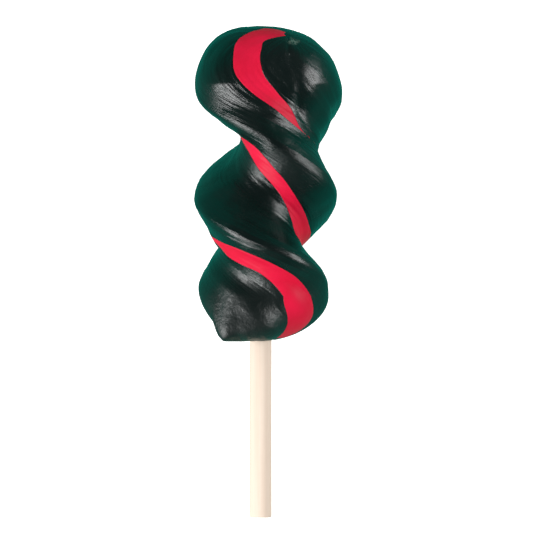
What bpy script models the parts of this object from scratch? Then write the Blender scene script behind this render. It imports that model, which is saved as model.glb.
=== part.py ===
"""Twist lollipop: a thick two-lobed bar of dark candy, twisted left-handed and
pulled to a tip, with two red candy stripes let into its faces, on a round stick.

It lies on its back: X across, Y from the stick end to the tip, Z up.
Lengths are in millimetres until the meshes are made."""

import math

import bmesh
import bpy
import numpy as np
from mathutils import Matrix

# Heights above the foot: three swells, and the two waists between them
LOW_SWELL, LOW_WAIST, MID_SWELL, HIGH_WAIST, TOP_SWELL = 10.5, 21.5, 33.0, 45.5, 57.0
CROWN = 71.5
SHOULDER = 56.0  # the dome starts here
HEEL = 10.2  # below here the head rounds in to its flat foot
DOME_POWER = 2.4
HEEL_POWER = 2.2
STATION = [0.0, LOW_SWELL, LOW_WAIST, MID_SWELL, HIGH_WAIST, TOP_SWELL, CROWN]

# Where lobe 1 points: half a turn from swell to swell, slower toward both ends
TWIST_DEG = [-235, -180, -90, 0, 90, 175, 205]
# Reach of each lobe, half thickness behind each stripe's face, and sideways lean
REACH_1 = [13, 15, 17, 16.5, 14.5, 16, 14]
REACH_2 = [16, 14.5, 16.5, 16, 17.5, 17.5, 18.5]
HALF_FRONT = [10, 11, 11, 11, 12.5, 13, 12]
HALF_BACK = [8, 8, 9, 10, 6.8, 6, 9]
LEAN = [0, 1, 1, 1, 1.8, 1, -1]
# The lobes' ridges stand up from the rest of the section
CREST_RISE, CREST_DEG, SHOULDER_CUT, SHOULDER_DEG = 0.035, 15, 0.045, 38

# The pulled tip leans toward the shown side, and the foot has one sharp corner
TIP_TILT_DEG, TIP_SIDE_DEG = 40, 50
TAIL_DEG, TAIL_SPREAD_DEG, TAIL_POWER = 134, 8, 12
FRONT_DEG, FRONT_SPREAD_DEG, FRONT_POWER = 105, 40, 2.5

# Distance run down the surface: tip at the top, middle of the foot at the bottom
DOME_RUN = 24.3
HEEL_RUN = 16.0
TIP = SHOULDER + DOME_RUN
FOOT = HEEL - HEEL_RUN

# Stripe 1: run, left border and right border in degrees round the head
STRIPE_1 = [
    (TIP, 240, 120), (76.0, 208, 135), (72.0, 168, 117), (66.0, 132, 98),
    (60.0, 117, 88), (56.0, 104, 78), (52.0, 81, 62), (49.0, 63, 55),
    (47.0, 47, 46), (44.0, 20, 18), (34.0, -80, -100), (24.0, -190, -200),
    (21.5, -215, -240), (19.0, -228, -264), (15.0, -267, -298), (9.0, -296, -332),
    (4.0, -310, -352), (FOOT, -328, -374),
]
STRIPE_1_RUN = (79.2, -1.6)
# Stripe 2 comes up the back of the head and ends there, short of the tip
STRIPE_2 = [
    (TIP, 360, 350), (71.0, 290, 280), (66.0, 288, 268), (57.0, 270, 245),
    (50.0, 215, 190), (45.0, 136, 115), (38.0, 96, 77), (32.0, 65, 48),
    (27.0, 46, 14), (24.5, 39, -12), (22.0, 13, -46), (17.0, -52, -78),
    (5.0, -115, -140), (FOOT, -160, -185),
]
STRIPE_2_RUN = (70.5, -1.6)
# How far the faces sink along each stripe
SINK_1 = [(TIP, 0), (70, 0.2), (58, 0.3), (52, 0.7), (47, 1.2), (34, 0.6), (24, 0),
          (12, 0.1), (FOOT, 0)]
SINK_2 = [(TIP, 0), (71, 0.2), (54, 0.5), (47, 0.8), (41, 0.4), (35, 0.6), (28, 0.7),
          (23, 1.2), (20, 1.0), (11, 0.5), (FOOT, 0)]
SINK_SPREAD_DEG = 24

STRIPE_DEEP = 1.8
GAP = 0.3

STICK_RADIUS = 2.5
STICK_SHOWN = 40.0
STICK_INSIDE = 30.0
BORE_MOUTH = 0.1

REST_LEVEL = -16.6  # the two back ridges are pressed flat at this level

DOME_ROWS, BARREL_ROWS, HEEL_ROWS = 17, 36, 11
HEEL_LAST = 0.8  # share of the heel's run that has rows; the bore starts inside it
STRIPE_SPANS, ARC_SPANS = 4, 18
STICK_SIDES = 48


def smooth(x, xs, ys):
    """Monotone cubic through the stations."""
    x = np.asarray(x, float)
    xs, ys = np.asarray(xs, float), np.asarray(ys, float)
    h = np.diff(xs)
    d = np.diff(ys) / h
    slope = np.zeros_like(ys)
    w1, w2 = 2 * h[1:] + h[:-1], h[1:] + 2 * h[:-1]
    same = d[:-1] * d[1:] > 0
    before, after = np.where(same, d[:-1], 1), np.where(same, d[1:], 1)
    slope[1:-1] = np.where(same, (w1 + w2) / (w1 / before + w2 / after), 0)
    slope[0], slope[-1] = d[0], d[-1]
    i = np.clip(np.searchsorted(xs, x, side="right") - 1, 0, len(h) - 1)
    q = np.clip((x - xs[i]) / h[i], 0, 1)
    ends = ys[i] * (1 + 2 * q) * (1 - q) ** 2 + ys[i + 1] * q * q * (3 - 2 * q)
    bends = h[i] * q * (1 - q) * (slope[i] * (1 - q) - slope[i + 1] * q)
    return ends + bends


def along(run, table, column):
    rows = np.array(table, float)[::-1]
    return smooth(run, rows[:, 0], rows[:, column])


def turn_between(a, b):
    return np.mod(a - b + math.pi, 2 * math.pi) - math.pi


def section(height, angle):
    """Radius of the level section: two round ends joined by two flat faces."""
    psi = angle - np.radians(smooth(height, STATION, TWIST_DEG))
    first, front = np.cos(psi) > 0, np.sin(psi) < 0
    reach = np.where(
        first, smooth(height, STATION, REACH_1), smooth(height, STATION, REACH_2)
    )
    half = np.where(
        front, smooth(height, STATION, HALF_FRONT), smooth(height, STATION, HALF_BACK)
    )
    half = np.minimum(half, reach - 0.2)
    middle = reach - half
    across, out = np.abs(np.cos(psi)), np.abs(np.sin(psi))
    flat = half / np.maximum(out, 1e-9)
    end = np.sqrt(np.maximum(half**2 - (middle * out) ** 2, 0)) + middle * across
    radius = np.where(flat * across < middle, flat, end)
    off = np.degrees(np.arcsin(np.clip(out, 0, 1)))
    crest = CREST_RISE * (np.exp(-((off / CREST_DEG) ** 2)) - 1)
    cut = SHOULDER_CUT * np.exp(-(((off - SHOULDER_DEG) / 16) ** 2))
    low = np.clip((SHOULDER + 2 - height) / 6, 0, 1)
    return radius * (1 + low * (crest - cut))


def dome_shrink(height):
    share = np.clip((height - SHOULDER) / (CROWN - SHOULDER), 0, 1)
    return (1 - share**DOME_POWER) ** (1 / DOME_POWER)


def on_dome(run, angle):
    """Height, angle and radius where a ray from the shoulder meets the dome. The
    rays lean more and more toward the tip, so rows of points close round it."""
    share = np.clip((run - SHOULDER) / DOME_RUN, 0, 1)
    rise = share * math.pi / 2
    lean = math.radians(TIP_TILT_DEG) * share**2 * (3 - 2 * share)
    side = angle - math.radians(TIP_SIDE_DEG)
    toward = np.cos(rise) * np.cos(side)
    away = np.cos(rise) * np.sin(side)
    up = np.sin(rise)
    toward, up = (
        toward * np.cos(lean) + up * np.sin(lean),
        up * np.cos(lean) - toward * np.sin(lean),
    )
    level = np.hypot(toward, away)
    angle = np.arctan2(away, toward) + math.radians(TIP_SIDE_DEG)
    low, high = np.full(share.shape, SHOULDER), np.full(share.shape, CROWN)
    for _ in range(30):
        height = (low + high) / 2
        radius = dome_shrink(height) * section(height, angle)
        inside = (height - SHOULDER) * level < radius * up
        low, high = np.where(inside, height, low), np.where(inside, high, height)
    return height, angle, radius


def on_heel(run, angle):
    share = np.clip((HEEL - run) / HEEL_RUN, 0, 1) * math.pi / 2
    off = turn_between(angle, math.radians(TAIL_DEG)) / math.radians(TAIL_SPREAD_DEG)
    front = turn_between(angle, math.radians(FRONT_DEG)) / math.radians(FRONT_SPREAD_DEG)
    power = HEEL_POWER + TAIL_POWER * np.exp(-(off**2))
    power = 2 / (power + FRONT_POWER * np.exp(-(front**2)))
    height = HEEL * (1 - np.sin(share) ** power)
    return height, np.cos(share) ** power * section(height, angle)


def sunk(run, angle):
    spread = math.radians(SINK_SPREAD_DEG)
    total = 0
    for stripe, sink in ((STRIPE_1, SINK_1), (STRIPE_2, SINK_2)):
        middle = np.radians(along(run, stripe, 1) + along(run, stripe, 2)) / 2
        off = turn_between(angle, middle) / spread
        total = total + along(run, sink, 1) * np.exp(-(off**2))
    return total


def skin(run, angle):
    """Point of the candy's surface."""
    run, angle = np.broadcast_arrays(np.asarray(run, float), np.asarray(angle, float))
    dome, heel = run > SHOULDER, run < HEEL
    barrel = np.clip(run, HEEL, SHOULDER)
    dome_height, dome_angle, dome_radius = on_dome(run, angle)
    heel_height, heel_radius = on_heel(run, angle)
    height = np.where(dome, dome_height, np.where(heel, heel_height, barrel))
    radius = np.where(
        dome, dome_radius, np.where(heel, heel_radius, section(barrel, angle))
    )
    radius = radius - np.minimum(sunk(run, angle), radius / 4)
    heading = np.where(dome, dome_angle, angle)
    return np.stack(
        [
            smooth(height, STATION, LEAN) + radius * np.cos(heading),
            height,
            radius * np.sin(heading),
        ],
        axis=-1,
    )


def below(run, angle, deep):
    """Point at a depth under the surface, square to it."""
    step = 0.05
    down = skin(run - step, angle) - skin(run + step, angle)
    turn = skin(run, angle + step / 8) - skin(run, angle - step / 8)
    normal = np.cross(down, turn)
    normal /= np.linalg.norm(normal, axis=-1, keepdims=True)
    return skin(run, angle) + normal * np.asarray(deep, float)[..., None]


def rest(points):
    """Presses the back ridges flat."""
    points = np.array(points)
    points[..., 2] = np.maximum(points[..., 2], REST_LEVEL)
    return points


def borders(run, stripe, inset=0.0):
    """Left and right border of a stripe, in radians, moved in by a distance."""
    left, right = np.radians(along(run, stripe, 1)), np.radians(along(run, stripe, 2))
    if inset:
        middle = (left + right) / 2
        width = np.linalg.norm(skin(run, left) - skin(run, right), axis=-1)
        keep = 1 - 2 * inset / width
        left, right = middle + (left - middle) * keep, middle + (right - middle) * keep
    return left, right


def spans(start, end, count):
    share = np.linspace(0, 1, count + 1)
    return start[:, None] + (end - start)[:, None] * share


def rows_of_head():
    dome = SHOULDER + DOME_RUN * (1 - np.linspace(0, 1, DOME_ROWS + 1)[1:])
    barrel = np.linspace(SHOULDER, HEEL, BARREL_ROWS + 1)[1:]
    heel = HEEL - HEEL_RUN * HEEL_LAST * np.linspace(0, 1, HEEL_ROWS + 1)[1:]
    return np.concatenate([[79.2], dome, barrel, heel])


def closed_grid(rings, caps):
    """Faces of a tube of rings, with a fan at an end that has a cap point."""
    count, around = rings.shape[:2]
    points = [p for ring in rings for p in ring]
    faces = []
    for i in range(count - 1):
        for j in range(around):
            k = (j + 1) % around
            a, b = i * around, (i + 1) * around
            faces += [(a + j, a + k, b + k), (a + j, b + k, b + j)]
    for cap, ring, flip in zip(caps, (0, count - 1), (False, True)):
        points.append(cap)
        for j in range(around):
            pair = (ring * around + j, ring * around + (j + 1) % around)
            faces.append((len(points) - 1, *(pair if flip else pair[::-1])))
    return np.array(points), np.array(faces)


def welded_mesh(name, points, faces):
    """The mesh in metres, with coinciding points made one."""
    _, first, index = np.unique(
        np.round(points, 4), axis=0, return_index=True, return_inverse=True
    )
    faces = index.reshape(-1)[faces]
    whole = (
        (faces[:, 0] != faces[:, 1])
        & (faces[:, 1] != faces[:, 2])
        & (faces[:, 2] != faces[:, 0])
    )
    mesh = bpy.data.meshes.new(name)
    mesh.from_pydata((points[first] * 0.001).tolist(), [], faces[whole].tolist())
    return mesh


def add_node(mesh, color, rough):
    material = bpy.data.materials.new(mesh.name)
    material.use_nodes = True
    shader = material.node_tree.nodes["Principled BSDF"]
    shader.inputs["Base Color"].default_value = (*color, 1)
    shader.inputs["Roughness"].default_value = rough
    mesh.materials.append(material)
    mesh.shade_smooth()
    mesh.set_sharp_from_angle(angle=math.radians(35))
    bpy.context.scene.collection.objects.link(bpy.data.objects.new(mesh.name, mesh))


def candy_body():
    """The head's skin, with a channel for each stripe and a bore for the stick."""
    run = rows_of_head()
    columns, depths = [], []
    left_1, right_1 = borders(run, STRIPE_1)
    left_2, right_2 = borders(run, STRIPE_2)
    edges = (
        (right_1, left_1, right_2, STRIPE_1_RUN),
        (right_2, left_2, right_1 + 2 * math.pi, STRIPE_2_RUN),
    )
    for start, end, following, (top, bottom) in edges:
        deep = np.where((run <= top) & (run >= bottom), STRIPE_DEEP, 0.0)
        floor = spans(start, end, STRIPE_SPANS)
        arc = spans(end, following, ARC_SPANS)[:, :-1]
        columns += [start[:, None], floor, arc]
        depths += [
            np.zeros((len(run), 1)),
            np.repeat(deep[:, None], STRIPE_SPANS + 1, axis=1),
            np.zeros((len(run), ARC_SPANS)),
        ]
    angle = np.concatenate(columns, axis=1)
    rings = rest(below(run[:, None], angle, np.concatenate(depths, axis=1)))
    bore = [
        np.stack(
            [
                (STICK_RADIUS + GAP) * np.cos(angle[-1]),
                np.full(angle.shape[1], height),
                (STICK_RADIUS + GAP) * np.sin(angle[-1]),
            ],
            axis=-1,
        )
        for height in (BORE_MOUTH, STICK_INSIDE)
    ]
    tip = skin(TIP - 1e-3, 0.0)
    points, faces = closed_grid(
        np.concatenate([rings, np.array(bore)]), (tip, (0, STICK_INSIDE, 0))
    )
    add_node(welded_mesh("candy_body", points, faces), (0.004, 0.012, 0.010), 0.3)


def stripe(name, table, ends):
    """An inlay that leaves a small gap to its channel on every side."""
    run = rows_of_head()
    run = run[(run <= ends[0]) & (run >= ends[1])]
    run[0], run[-1] = run[0] - GAP, run[-1] + GAP
    left, right = borders(run, table, GAP)
    angle = spans(right, left, STRIPE_SPANS)
    both = np.concatenate([angle, angle[:, ::-1]], axis=1)
    deep = np.zeros_like(both)
    deep[:, STRIPE_SPANS + 1:] = STRIPE_DEEP - GAP
    rings = below(run[:, None], both, deep)
    points, faces = closed_grid(rings, (rings[0].mean(axis=0), rings[-1].mean(axis=0)))
    add_node(welded_mesh(name, points, faces), (0.65, 0.012, 0.055), 0.35)


def stick():
    """A plain round dowel, cut off flat at both ends."""
    long = STICK_SHOWN + STICK_INSIDE - GAP
    dowel = bmesh.new()
    bmesh.ops.create_cone(
        dowel, cap_ends=True, segments=STICK_SIDES, radius1=STICK_RADIUS * 0.001,
        radius2=STICK_RADIUS * 0.001, depth=long * 0.001,
        matrix=Matrix.Translation((0, (long / 2 - STICK_SHOWN) * 0.001, 0))
        @ Matrix.Rotation(math.pi / 2, 4, "X"),
    )
    mesh = bpy.data.meshes.new("stick")
    dowel.to_mesh(mesh)
    dowel.free()
    add_node(mesh, (0.93, 0.78, 0.66), 0.6)


def settle():
    """Puts the middle of the box's underside at the origin."""
    nodes = [obj for obj in bpy.data.objects if obj.type == "MESH"]
    corners = [v.co for node in nodes for v in node.data.vertices]
    low = [min(c[axis] for c in corners) for axis in range(3)]
    high = [max(c[axis] for c in corners) for axis in range(3)]
    shift = ((low[0] + high[0]) / 2, (low[1] + high[1]) / 2, low[2])
    for node in nodes:
        for vertex in node.data.vertices:
            vertex.co = [value - move for value, move in zip(vertex.co, shift)]


for old in list(bpy.data.objects):
    bpy.data.objects.remove(old, do_unlink=True)
candy_body()
stripe("red_stripe_front", STRIPE_1, STRIPE_1_RUN)
stripe("red_stripe_back", STRIPE_2, STRIPE_2_RUN)
stick()
settle()
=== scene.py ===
"""Twist lollipop: the fine surface, materials, light and camera over the CAD frame.

The candy's skin is described by the distance run down from the tip and the angle
round the head, in millimetres and radians, and placed in the frame by the stick."""

import math

import bpy
import numpy as np
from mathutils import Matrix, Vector, noise


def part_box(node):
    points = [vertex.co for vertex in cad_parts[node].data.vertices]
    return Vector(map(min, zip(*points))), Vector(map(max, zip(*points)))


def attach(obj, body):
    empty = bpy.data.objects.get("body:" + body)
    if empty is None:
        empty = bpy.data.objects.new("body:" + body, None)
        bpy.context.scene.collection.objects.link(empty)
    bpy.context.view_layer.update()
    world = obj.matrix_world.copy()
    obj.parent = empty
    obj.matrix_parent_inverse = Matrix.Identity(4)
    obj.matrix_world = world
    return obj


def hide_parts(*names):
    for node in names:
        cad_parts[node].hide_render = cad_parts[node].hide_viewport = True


# ---------------------------------------------------------------- the head's form
# Heights above the foot: three swells, and the two waists between them
LOW_SWELL, LOW_WAIST, MID_SWELL, HIGH_WAIST, TOP_SWELL = 10.5, 21.5, 33.0, 45.5, 57.0
CROWN, SHOULDER, HEEL = 71.5, 56.0, 10.2
DOME_POWER, HEEL_POWER = 2.4, 2.2
STATION = [0.0, LOW_SWELL, LOW_WAIST, MID_SWELL, HIGH_WAIST, TOP_SWELL, CROWN]
# Where lobe 1 points: half a turn from swell to swell, slower toward both ends
TWIST_DEG = [-235, -180, -90, 0, 90, 175, 205]
REACH_1 = [13, 15, 17, 16.5, 14.5, 16, 14]
REACH_2 = [16, 14.5, 16.5, 16, 17.5, 17.5, 18.5]
HALF_FRONT = [10, 11, 11, 11, 12.5, 13, 12]
HALF_BACK = [8, 8, 9, 10, 6.8, 6, 9]
LEAN = [0, 1, 1, 1, 1.8, 1, -1]
# The pulled tip leans toward the shown side, and the foot has one sharp corner
TIP_TILT_DEG, TIP_SIDE_DEG = 40, 50
TAIL_DEG, TAIL_SPREAD_DEG, TAIL_POWER = 134, 8, 12
FRONT_DEG, FRONT_SPREAD_DEG, FRONT_POWER = 105, 40, 2.5
# The lobes' ridges stand up from the rest of the section, as shares of its radius
CREST_RISE, CREST_DEG, SHOULDER_CUT, SHOULDER_DEG = 0.035, 15, 0.045, 38
SHOULDER_SPREAD_DEG = 16
DOME_RUN, HEEL_RUN = 24.3, 16.0
TIP = SHOULDER + DOME_RUN
FOOT = HEEL - HEEL_RUN

# Run, left border and right border of each stripe, in degrees
STRIPE_1 = [
    (TIP, 240, 120), (78.0, 212, 133), (75.0, 187, 134), (72.0, 166, 117),
    (66.0, 132, 98), (60.0, 117, 88), (56.0, 104, 78), (52.0, 81, 62), (49.0, 63, 55),
    (47.0, 47, 46), (44.0, 20, 18), (34.0, -80, -100), (24.0, -190, -200),
    (21.5, -215, -240), (19.0, -228, -264), (15.0, -267, -298), (9.0, -296, -332),
    (4.0, -310, -352), (FOOT, -328, -374),
]
STRIPE_2 = [
    (TIP, 360, 350), (71.0, 290, 280), (66.0, 288, 268), (57.0, 270, 245),
    (50.0, 215, 190), (45.0, 136, 115), (38.0, 96, 77), (32.0, 65, 48),
    (27.0, 46, 14), (24.5, 39, -12), (22.0, 13, -46), (17.0, -52, -78),
    (5.0, -115, -140), (FOOT, -160, -185),
]
STRIPE_1_RUN, STRIPE_2_RUN = (79.4, -1.6), (70.5, -1.6)
SINK_1 = [(TIP, 0), (70, 0.2), (58, 0.3), (52, 0.7), (47, 1.2), (34, 0.6), (24, 0),
          (12, 0.1), (FOOT, 0)]
SINK_2 = [(TIP, 0), (71, 0.2), (54, 0.5), (47, 0.8), (41, 0.4), (35, 0.6), (28, 0.7),
          (23, 1.2), (20, 1.0), (11, 0.5), (FOOT, 0)]
SINK_SPREAD_DEG = 24
# Fold that runs down from the tip between the two lobes: run and degrees
FOLD = [(TIP, 95), (72.0, 70), (60.0, 60), (53.0, 55), (47.0, 35), (40.0, -30),
        (FOOT, -400)]

# Depth of an inlay, how far its edges round down, and how far its middle swells
STRIPE_DEEP, STRIPE_EDGE, STRIPE_CROWN, CROWNED_WIDTH = 0.7, 0.06, 0.10, 6
STICK_RADIUS, STICK_SHOWN, STICK_INSIDE = 2.5, 40.0, 30.0
REST_LEVEL = -16.6

DOME_ROWS, BARREL_ROWS, HEEL_ROWS = 90, 188, 53
STRIPE_SPANS, ARC_SPANS = 26, 96
HEEL_LAST = 0.86  # share of the heel's run that has rows
FOOT_MIDDLE = 1.0  # height of the point that closes the foot


def smooth(x, xs, ys):
    """Monotone cubic through the stations."""
    x = np.asarray(x, float)
    xs, ys = np.asarray(xs, float), np.asarray(ys, float)
    h = np.diff(xs)
    d = np.diff(ys) / h
    slope = np.zeros_like(ys)
    w1, w2 = 2 * h[1:] + h[:-1], h[1:] + 2 * h[:-1]
    same = d[:-1] * d[1:] > 0
    before, after = np.where(same, d[:-1], 1), np.where(same, d[1:], 1)
    slope[1:-1] = np.where(same, (w1 + w2) / (w1 / before + w2 / after), 0)
    slope[0], slope[-1] = d[0], d[-1]
    i = np.clip(np.searchsorted(xs, x, side="right") - 1, 0, len(h) - 1)
    q = np.clip((x - xs[i]) / h[i], 0, 1)
    ends = ys[i] * (1 + 2 * q) * (1 - q) ** 2 + ys[i + 1] * q * q * (3 - 2 * q)
    return ends + h[i] * q * (1 - q) * (slope[i] * (1 - q) - slope[i + 1] * q)


def along(run, table, column):
    rows = np.array(table, float)[::-1]
    return smooth(run, rows[:, 0], rows[:, column])


def turn_between(a, b):
    return np.mod(a - b + math.pi, 2 * math.pi) - math.pi


def twist_at(height):
    return np.radians(smooth(height, STATION, TWIST_DEG))


def section(height, angle):
    """Radius of the level section: two round ends joined by two flat faces."""
    psi = angle - twist_at(height)
    first, front = np.cos(psi) > 0, np.sin(psi) < 0
    reach = np.where(
        first, smooth(height, STATION, REACH_1), smooth(height, STATION, REACH_2)
    )
    half = np.where(
        front, smooth(height, STATION, HALF_FRONT), smooth(height, STATION, HALF_BACK)
    )
    half = np.minimum(half, reach - 0.2)
    middle = reach - half
    across, out = np.abs(np.cos(psi)), np.abs(np.sin(psi))
    flat = half / np.maximum(out, 1e-9)
    end = np.sqrt(np.maximum(half**2 - (middle * out) ** 2, 0)) + middle * across
    radius = np.where(flat * across < middle, flat, end)
    off = np.degrees(np.arcsin(np.clip(out, 0, 1)))
    crest = CREST_RISE * (np.exp(-((off / CREST_DEG) ** 2)) - 1)
    cut = SHOULDER_CUT * np.exp(-(((off - SHOULDER_DEG) / SHOULDER_SPREAD_DEG) ** 2))
    low = np.clip((SHOULDER + 2 - height) / 6, 0, 1)
    return radius * (1 + low * (crest - cut))


def dome_shrink(height):
    share = np.clip((height - SHOULDER) / (CROWN - SHOULDER), 0, 1)
    return (1 - share**DOME_POWER) ** (1 / DOME_POWER)


def on_dome(run, angle):
    """Height, angle and radius where a ray from the shoulder meets the dome."""
    share = np.clip((run - SHOULDER) / DOME_RUN, 0, 1)
    rise = share * math.pi / 2
    lean = math.radians(TIP_TILT_DEG) * share**2 * (3 - 2 * share)
    side = angle - math.radians(TIP_SIDE_DEG)
    toward, away = np.cos(rise) * np.cos(side), np.cos(rise) * np.sin(side)
    up = np.sin(rise)
    toward, up = (
        toward * np.cos(lean) + up * np.sin(lean),
        up * np.cos(lean) - toward * np.sin(lean),
    )
    level = np.hypot(toward, away)
    angle = np.arctan2(away, toward) + math.radians(TIP_SIDE_DEG)
    low, high = np.full(share.shape, SHOULDER), np.full(share.shape, CROWN)
    for _ in range(26):
        height = (low + high) / 2
        radius = dome_shrink(height) * section(height, angle)
        inside = (height - SHOULDER) * level < radius * up
        low, high = np.where(inside, height, low), np.where(inside, high, height)
    return height, angle, radius


def on_heel(run, angle):
    share = np.clip((HEEL - run) / HEEL_RUN, 0, 1) * math.pi / 2
    off = turn_between(angle, math.radians(TAIL_DEG)) / math.radians(TAIL_SPREAD_DEG)
    front = turn_between(angle, math.radians(FRONT_DEG)) / math.radians(FRONT_SPREAD_DEG)
    power = HEEL_POWER + TAIL_POWER * np.exp(-(off**2))
    power = 2 / (power + FRONT_POWER * np.exp(-(front**2)))
    height = HEEL * (1 - np.sin(share) ** power)
    return height, np.cos(share) ** power * section(height, angle)


def sunk(run, angle):
    spread = math.radians(SINK_SPREAD_DEG)
    total = 0
    for stripe, sink in ((STRIPE_1, SINK_1), (STRIPE_2, SINK_2)):
        middle = np.radians(along(run, stripe, 1) + along(run, stripe, 2)) / 2
        off = turn_between(angle, middle) / spread
        total = total + along(run, sink, 1) * np.exp(-(off**2))
    return total


def skin(run, angle):
    """Point of the candy's surface."""
    run, angle = np.broadcast_arrays(np.asarray(run, float), np.asarray(angle, float))
    dome, heel = run > SHOULDER, run < HEEL
    barrel = np.clip(run, HEEL, SHOULDER)
    dome_height, dome_angle, dome_radius = on_dome(run, angle)
    heel_height, heel_radius = on_heel(run, angle)
    height = np.where(dome, dome_height, np.where(heel, heel_height, barrel))
    radius = np.where(
        dome, dome_radius, np.where(heel, heel_radius, section(barrel, angle))
    )
    radius = radius - np.minimum(sunk(run, angle), radius / 4)
    heading = np.where(dome, dome_angle, angle)
    return np.stack(
        [
            smooth(height, STATION, LEAN) + radius * np.cos(heading),
            height,
            radius * np.sin(heading),
        ],
        axis=-1,
    )


def outward(points):
    """Normals of a grid whose rows run down and whose columns run round."""
    down = np.gradient(points, axis=0)
    turn = np.roll(points, -1, axis=1) - np.roll(points, 1, axis=1)
    normal = np.cross(turn, down)
    return normal / np.maximum(np.linalg.norm(normal, axis=-1, keepdims=True), 1e-9)


# ------------------------------------------------------------- the pulled surface
def noise_over(x, y, z, seed):
    flat = np.stack(np.broadcast_arrays(x, y, z), axis=-1).reshape(-1, 3) + seed
    found = np.array([noise.noise(Vector(p)) for p in flat.tolist()])
    return found.reshape(np.broadcast(x, y, z).shape)


def bump(x, middle, width):
    return np.exp(-(((x - middle) / width) ** 2))


def relief(points, run, angle):
    """How far the real, hand-pulled surface stands off the smooth form, in mm."""
    height = np.clip(run, 0, CROWN)
    psi = angle - twist_at(height)
    lumps = 0.30 * noise_over(*(points[..., i] / 9 for i in range(3)), 3.1)
    lumps += 0.10 * noise_over(*(points[..., i] / 3.6 for i in range(3)), 7.7)
    round_x, round_y = np.cos(psi), np.sin(psi)
    drawn = 0.10 * noise_over(round_x * 9, round_y * 9, run / 14, 1.3)
    drawn += 0.05 * noise_over(round_x * 20, round_y * 20, run / 9, 5.9)
    fold = np.radians(along(run, FOLD, 1))
    near_fold = turn_between(angle, fold)
    fold_strength = np.clip((run - 45) / 6, 0, 1) * np.clip((TIP - run) / 2, 0, 1)
    crease = -0.18 * fold_strength * bump(near_fold, 0, math.radians(4))
    crease += 0.10 * fold_strength * bump(near_fold, math.radians(-13), math.radians(9))
    tail = bump(run, 1.5, 4.5) * bump(turn_between(angle, math.radians(125)), 0, 0.7)
    crumple = 0.16 * tail * noise_over(*(points[..., i] / 1.3 for i in range(3)), 11.0)
    near_pole = np.clip((TIP - run) / 6, 0.15, 1)
    calm = 1 - 0.75 * bump(run, 4, 9)
    return (lumps + drawn) * near_pole * calm + crease + crumple


# ------------------------------------------------------------------------ meshes
def borders(run, stripe):
    return np.radians(along(run, stripe, 1)), np.radians(along(run, stripe, 2))


def eased(count):
    """Shares from 0 to 1, closer together at both ends."""
    share = np.linspace(0, 1, count + 1)
    return share - 0.75 * np.sin(2 * math.pi * share) / (2 * math.pi)


def spans(start, end, count):
    return start[:, None] + (end - start)[:, None] * eased(count)


def head_grid():
    """The head's surface as a grid, its columns following the stripes' borders."""
    dome = TIP - DOME_RUN * np.linspace(0.006, 1, DOME_ROWS) ** 1.15
    barrel = np.linspace(SHOULDER, HEEL, BARREL_ROWS + 1)[1:]
    heel = HEEL - HEEL_RUN * np.linspace(0, HEEL_LAST, HEEL_ROWS + 1)[1:]
    run = np.concatenate([dome, barrel, heel])
    left_1, right_1 = borders(run, STRIPE_1)
    left_2, right_2 = borders(run, STRIPE_2)
    angle = np.concatenate(
        [
            spans(right_1, left_1, STRIPE_SPANS)[:, :-1],
            spans(left_1, right_2, ARC_SPANS)[:, :-1],
            spans(right_2, left_2, STRIPE_SPANS)[:, :-1],
            spans(left_2, right_1 + 2 * math.pi, ARC_SPANS)[:, :-1],
        ],
        axis=1,
    )
    run = np.broadcast_to(run[:, None], angle.shape)
    points = skin(run, angle)
    points = points + outward(points) * relief(points, run, angle)[..., None]
    return run, angle, points, outward(points)


def in_stripe(run, first):
    """Which grid rows and columns lie on a stripe."""
    ends = STRIPE_1_RUN if first else STRIPE_2_RUN
    start = 0 if first else STRIPE_SPANS + ARC_SPANS
    rows = np.where((run[:, 0] <= ends[0]) & (run[:, 0] >= ends[1]))[0]
    return rows, np.arange(start, start + STRIPE_SPANS + 1)


def stripe_width(points, rows, columns):
    return np.linalg.norm(points[rows, columns[0]] - points[rows, columns[-1]], axis=-1)


def stripe_depth(points, rows, columns):
    """An inlay is never deeper than about half of its width."""
    return np.minimum(STRIPE_DEEP, 0.5 * stripe_width(points, rows, columns))


class Placed:
    """Puts head coordinates, in mm, into the frame, in metres."""

    def __init__(self):
        low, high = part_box("stick")
        self.origin = np.array(
            [
                (low[0] + high[0]) / 2,
                low[1] + STICK_SHOWN * 0.001,
                (low[2] + high[2]) / 2,
            ]
        )

    def __call__(self, points):
        return np.asarray(points) * 0.001 + self.origin


def quads(rows, around):
    """Faces of a tube of rings."""
    a = np.arange(rows - 1)[:, None] * around
    j = np.arange(around)[None, :]
    k = (j + 1) % around
    return np.stack([a + j, a + k, a + around + k, a + around + j], -1).reshape(-1, 4)


def make_piece(name, points, faces, caps=()):
    mesh = bpy.data.meshes.new(name)
    mesh.from_pydata(points.tolist(), [], faces.tolist() + list(caps))
    mesh.shade_smooth()
    piece = bpy.data.objects.new(name, mesh)
    bpy.context.scene.collection.objects.link(piece)
    return piece


def add_values(piece, name, values):
    layer = piece.data.attributes.new(name, "FLOAT", "POINT")
    layer.data.foreach_set("value", np.asarray(values, np.float32).ravel())


def rested(points):
    points = np.array(points)
    points[..., 2] = np.maximum(points[..., 2], REST_LEVEL)
    return points


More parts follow.
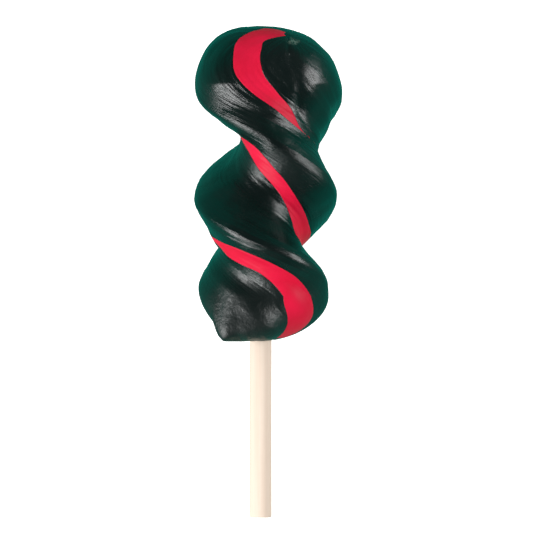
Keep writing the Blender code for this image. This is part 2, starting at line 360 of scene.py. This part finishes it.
def build_candy(place, grid):
    run, angle, points, normals = grid
    depth = np.zeros(run.shape)
    for first in (True, False):
        rows, columns = in_stripe(run, first)
        area = np.ix_(rows[1:-1], columns[1:-1])
        depth[area] = stripe_depth(points, rows, columns)[1:-1, None]
    skin_points = rested(points - normals * depth[..., None])
    rows, around = run.shape
    top = skin_points[0].mean(axis=0)
    bottom = np.array([0.0, FOOT_MIDDLE, 0.0])
    everything = np.concatenate([skin_points.reshape(-1, 3), [top, bottom]])
    last = (rows - 1) * around
    caps = [(j, (j + 1) % around, rows * around) for j in range(around)]
    caps += [
        (last + (j + 1) % around, last + j, rows * around + 1) for j in range(around)
    ]
    faces = quads(rows, around)
    piece = make_piece("dark_candy", place(everything), faces, caps)
    add_drawn_coordinates(piece, run, angle, 2)
    tip_side = turn_between(angle, math.radians(60))
    masks = {
        "drawn": np.clip((run - 8) / 8, 0, 1),
        "grainy": 0.15 + 0.85 * bump(run, 3, 9) + 0.3 * bump(run, 40, 5),
        # painted highlight: where the pale specks of light on the pulled tip are painted
        "tip_highlight_mask": bump(run, TIP - 2.2, 2.4) * bump(tip_side, 0, 0.9),
    }
    for name, mask in masks.items():
        add_values(piece, name, np.concatenate([mask.ravel(), np.zeros(2)]))
    return piece


def add_drawn_coordinates(piece, run, angle, extra):
    """Coordinates that follow the pull of the candy, for its streaks."""
    psi = angle - twist_at(np.clip(run, 0, CROWN))
    pad = np.zeros(extra)
    for name, values in (
        ("pull_x", np.cos(psi)), ("pull_y", np.sin(psi)), ("pull_run", run / 10),
    ):
        add_values(piece, name, np.concatenate([values.ravel(), pad]))


def build_stripe(place, grid, name, first):
    """A red inlay: a slightly crowned band whose edges round down into its groove."""
    run, angle, points, normals = grid
    rows, columns = in_stripe(run, first)
    area = np.ix_(rows, columns)
    across = np.linspace(-1, 1, len(columns))[None, :]
    width = stripe_width(points, rows, columns)[:, None]
    crown = np.clip(width / CROWNED_WIDTH, 0, 1) * STRIPE_CROWN
    lift = crown * (1 - across**2) - STRIPE_EDGE * (np.abs(across) > 0.999)
    lift = lift - 0.3 * width * np.exp(-((width / 0.5) ** 2))
    top = points[area] + normals[area] * lift[..., None]
    deep = 0.8 * stripe_depth(points, rows, columns)[:, None, None]
    under = points[area] - normals[area] * deep
    both = rested(np.concatenate([top, under[:, ::-1]], axis=1))
    count, around = both.shape[:2]
    ends = [tuple(range(around))[::-1], tuple(range((count - 1) * around, count * around))]
    faces = quads(count, around)
    piece = make_piece(name, place(both.reshape(-1, 3)), faces, ends)
    both_run = np.concatenate([run[area], run[area][:, ::-1]], axis=1)
    both_angle = np.concatenate([angle[area], angle[area][:, ::-1]], axis=1)
    add_drawn_coordinates(piece, both_run, both_angle, 0)
    piece.visible_glossy = False
    return piece


def build_stick(place):
    """A dowel with a faint out-of-round and slightly worn end edges."""
    sides, rings = 96, 60
    turn = np.linspace(0, 2 * math.pi, sides + 1)[:-1]
    edge = 0.18
    heights = np.concatenate(
        [
            [-STICK_SHOWN, -STICK_SHOWN + edge * 0.3, -STICK_SHOWN + edge],
            np.linspace(-STICK_SHOWN + 1, STICK_INSIDE - 1, rings),
        ]
    )
    shrink = np.concatenate([[edge, edge * 0.45, 0.0], np.zeros(rings)])
    grain = noise_over(np.cos(turn) * 3, np.sin(turn) * 3, heights[:, None] / 40, 2.0)
    radius = STICK_RADIUS - shrink[:, None] + 0.02 * grain
    points = np.stack(
        [
            radius * np.cos(turn),
            np.broadcast_to(heights[:, None], radius.shape),
            radius * np.sin(turn),
        ],
        axis=-1,
    )
    count = len(heights)
    ends = [tuple(range(sides)), tuple(range((count - 1) * sides, count * sides))[::-1]]
    faces = quads(count, sides)[:, ::-1]
    piece = make_piece("birch_stick", place(points.reshape(-1, 3)), faces, ends)
    piece.data.set_sharp_from_angle(angle=math.radians(50))
    return piece


# --------------------------------------------------------------------- materials
class Shader:
    """Small helper to wire up one Principled material."""

    def __init__(self, name):
        self.material = bpy.data.materials.new(name)
        self.material.use_nodes = True
        self.tree = self.material.node_tree
        self.main = self.tree.nodes["Principled BSDF"]

    def node(self, kind, **inputs):
        made = self.tree.nodes.new(kind)
        for name, value in inputs.items():
            made.inputs[name.replace("_", " ")].default_value = value
        return made

    def link(self, source, target):
        self.tree.links.new(source, target)

    def value(self, name):
        made = self.tree.nodes.new("ShaderNodeAttribute")
        made.attribute_name = name
        return made.outputs["Fac"]

    def math(self, operation, a, b=0.0):
        made = self.tree.nodes.new("ShaderNodeMath")
        made.operation = operation
        for socket, given in zip(made.inputs, (a, b)):
            if isinstance(given, (int, float)):
                socket.default_value = given
            else:
                self.link(given, socket)
        return made.outputs[0]

    def vector(self, x, y, z):
        made = self.tree.nodes.new("ShaderNodeCombineXYZ")
        for socket, given in zip(made.inputs, (x, y, z)):
            self.link(given, socket)
        return made.outputs[0]

    def noise(self, vector, scale, detail=3.0, rough=0.5):
        made = self.node("ShaderNodeTexNoise", Scale=scale, Detail=detail, Roughness=rough)
        self.link(vector, made.inputs["Vector"])
        return made.outputs["Fac"]

    def ramp(self, source, stops):
        made = self.tree.nodes.new("ShaderNodeValToRGB")
        elements = made.color_ramp.elements
        while len(elements) < len(stops):
            elements.new(0.5)
        for element, (place, color) in zip(elements, stops):
            element.position = place
            element.color = (*color, 1)
        self.link(source, made.inputs[0])
        return made.outputs[0]

    def bump(self, height, strength, distance, below=None):
        made = self.node("ShaderNodeBump", Strength=strength, Distance=distance)
        self.link(height, made.inputs["Height"])
        if below is not None:
            self.link(below, made.inputs["Normal"])
        return made.outputs[0]

    def set(self, **inputs):
        for name, value in inputs.items():
            self.main.inputs[name.replace("_", " ")].default_value = value


def drawn_vector(shader, across, down):
    """Texture space stretched along the candy's pull."""
    return shader.vector(
        shader.math("MULTIPLY", shader.value("pull_x"), across),
        shader.math("MULTIPLY", shader.value("pull_y"), across),
        shader.math("MULTIPLY", shader.value("pull_run"), down),
    )


def object_vector(shader):
    return shader.tree.nodes.new("ShaderNodeTexCoord").outputs["Object"]


def dark_candy():
    shader = Shader("dark_candy")
    streaks = shader.noise(drawn_vector(shader, 9.0, 1.2), 1.6, 5.0, 0.55)
    fine = shader.noise(drawn_vector(shader, 26.0, 2.5), 1.5, 4.0, 0.6)
    grain = shader.noise(object_vector(shader), 900.0, 3.0, 0.6)
    patch = shader.noise(object_vector(shader), 90.0, 3.0, 0.5)
    drawn, grainy = shader.value("drawn"), shader.value("grainy")
    dark = shader.ramp(
        patch,
        [(0.32, (0.0020, 0.0045, 0.0042)), (0.68, (0.0045, 0.0085, 0.0080))],
    )
    # Painted highlight: pale green-white specks of light at the tip, added onto the base
    # colour
    highlight_specks = shader.math("MULTIPLY", shader.value("tip_highlight_mask"), grain)
    painted_tip_highlight = shader.ramp(
        shader.math("MULTIPLY", highlight_specks, streaks),
        [(0.17, (0.0, 0.0, 0.0)), (0.34, (0.17, 0.23, 0.19))],
    )
    both = shader.tree.nodes.new("ShaderNodeMix")
    both.data_type, both.blend_type = "RGBA", "ADD"
    both.inputs["Factor"].default_value = 1.0
    shader.link(dark, both.inputs[6])
    shader.link(painted_tip_highlight, both.inputs[7])
    shader.link(both.outputs[2], shader.main.inputs["Base Color"])
    worn = shader.math("MULTIPLY", grainy, 0.34)
    rough = shader.math("ADD", shader.math("MULTIPLY", patch, 0.24), 0.07)
    shader.link(shader.math("ADD", rough, worn), shader.main.inputs["Roughness"])
    low = shader.bump(shader.math("MULTIPLY", streaks, drawn), 0.20, 0.0007)
    mid = shader.bump(shader.math("MULTIPLY", fine, drawn), 0.22, 0.0004, low)
    top = shader.bump(shader.math("MULTIPLY", grain, grainy), 0.7, 0.00030, mid)
    shader.link(top, shader.main.inputs["Normal"])
    shader.set(
        Specular_IOR_Level=0.75,
        Sheen_Weight=0.12,
        Sheen_Roughness=0.25,
        Sheen_Tint=(0.0, 0.30, 0.22, 1),
    )
    return shader.material


def red_candy():
    shader = Shader("red_candy")
    patch = shader.noise(object_vector(shader), 160.0, 4.0, 0.6)
    grain = shader.noise(object_vector(shader), 1500.0, 3.0, 0.6)
    color = shader.ramp(
        patch,
        [(0.30, (0.74, 0.004, 0.038)), (0.70, (0.84, 0.008, 0.056))],
    )
    shader.link(color, shader.main.inputs["Base Color"])
    shader.link(shader.bump(grain, 0.15, 0.0001), shader.main.inputs["Normal"])
    shader.set(Roughness=0.45, Specular_IOR_Level=0.22)
    return shader.material


def birch():
    shader = Shader("birch")
    coords = shader.tree.nodes.new("ShaderNodeMapping")
    coords.inputs["Scale"].default_value = (900.0, 26.0, 900.0)
    shader.link(object_vector(shader), coords.inputs["Vector"])
    grain = shader.noise(coords.outputs[0], 1.0, 5.0, 0.6)
    color = shader.ramp(
        grain,
        [(0.30, (0.90, 0.735, 0.60)), (0.72, (0.97, 0.83, 0.70))],
    )
    shader.link(color, shader.main.inputs["Base Color"])
    shader.link(shader.bump(grain, 0.25, 0.0001), shader.main.inputs["Normal"])
    shader.set(Roughness=0.6, Specular_IOR_Level=0.3)
    return shader.material


# ------------------------------------------------------------- floor, light, camera
def add_floor():
    """White floor. It lights nothing and isn't reflected, so the candy stays dark."""
    mesh = bpy.data.meshes.new("floor")
    size = 3.0
    corners = [(-size, -size, 0), (size, -size, 0), (size, size, 0), (-size, size, 0)]
    mesh.from_pydata(corners, [], [(0, 1, 2, 3)])
    floor = bpy.data.objects.new("floor", mesh)
    bpy.context.scene.collection.objects.link(floor)
    shader = Shader("floor")
    shader.set(
        Base_Color=(0.9, 0.9, 0.9, 1),
        Roughness=0.9,
        Specular_IOR_Level=0.0,
        Emission_Color=(1, 1, 1, 1),
        Emission_Strength=0.95,
    )
    mesh.materials.append(shader.material)
    floor.visible_glossy = False
    floor.visible_diffuse = False


def add_light(name, azimuth, elevation, distance, size, power):
    """A soft box that faces the head, seen from it at this azimuth from +X."""
    light = bpy.data.lights.new(name, "AREA")
    light.shape = "RECTANGLE"
    light.size, light.size_y = size
    light.energy = power
    lamp = bpy.data.objects.new(name, light)
    a, e = math.radians(azimuth), math.radians(elevation)
    way = Vector((math.cos(e) * math.cos(a), math.cos(e) * math.sin(a), math.sin(e)))
    lamp.location = Vector((0, 0.015, 0.016)) + way * distance
    lamp.rotation_euler = way.to_track_quat("Z", "Y").to_euler()
    bpy.context.scene.collection.objects.link(lamp)


def add_world():
    """Plain soft surroundings. Reflections see them teal low down and dark above."""
    world = bpy.data.worlds.new("studio")
    bpy.context.scene.world = world
    world.use_nodes = True
    tree = world.node_tree
    background = tree.nodes["Background"]
    direction = tree.nodes.new("ShaderNodeTexCoord")
    split = tree.nodes.new("ShaderNodeSeparateXYZ")
    height = tree.nodes.new("ShaderNodeMapRange")
    height.inputs["From Min"].default_value = -1.0
    ramp = tree.nodes.new("ShaderNodeValToRGB")
    stops = ramp.color_ramp.elements
    stops[0].position, stops[0].color = 0.42, (0.010, 0.36, 0.27, 1)
    stops[1].position, stops[1].color = 0.80, (0.020, 0.060, 0.055, 1)
    path = tree.nodes.new("ShaderNodeLightPath")
    mix = tree.nodes.new("ShaderNodeMix")
    mix.data_type = "RGBA"
    plain, reflected = mix.inputs[6], mix.inputs[7]
    plain.default_value = (0.34, 0.33, 0.32, 1)
    for source, target in (
        (direction.outputs["Generated"], split.inputs[0]),
        (split.outputs["Z"], height.inputs["Value"]),
        (height.outputs["Result"], ramp.inputs["Fac"]),
        (ramp.outputs["Color"], reflected),
        (path.outputs["Is Glossy Ray"], mix.inputs["Factor"]),
        (mix.outputs[2], background.inputs["Color"]),
    ):
        tree.links.new(source, target)


def add_camera():
    camera = bpy.data.cameras.new("camera")
    distance, shown = 0.9, 0.1227
    camera.lens = camera.sensor_width * distance / shown
    camera.clip_start = 0.01
    view = bpy.data.objects.new("camera", camera)
    view.location = (0.0004, 0.0004, distance + 0.016)
    bpy.context.scene.collection.objects.link(view)
    bpy.context.scene.camera = view


# ------------------------------------------------------------------------ assembly
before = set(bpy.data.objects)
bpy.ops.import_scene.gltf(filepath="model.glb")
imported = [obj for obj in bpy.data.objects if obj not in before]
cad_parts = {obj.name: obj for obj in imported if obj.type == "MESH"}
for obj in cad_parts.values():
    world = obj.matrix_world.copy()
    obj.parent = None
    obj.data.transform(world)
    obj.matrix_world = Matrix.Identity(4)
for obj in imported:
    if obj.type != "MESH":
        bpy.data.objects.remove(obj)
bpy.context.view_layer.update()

place = Placed()
grid = head_grid()
pieces = (
    (build_candy(place, grid), "candy_body", "dark_candy", dark_candy()),
    (build_stripe(place, grid, "red_front", True), "red_stripe_front", "red_candy",
     red_candy()),
    (build_stripe(place, grid, "red_back", False), "red_stripe_back", "red_candy",
     red_candy()),
    (build_stick(place), "stick", "birch_stick", birch()),
)
for piece, node, slot, material in pieces:
    piece.data.materials.append(material)
    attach(piece, "root")
    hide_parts(node)

add_floor()
add_light("left_box", -158, 31, 0.55, (0.50, 0.22), 3.2)
add_light("right_box", 2, 29, 0.55, (0.38, 0.20), 1.7)
add_world()
add_camera()
bpy.context.scene.view_settings.view_transform = "Standard"
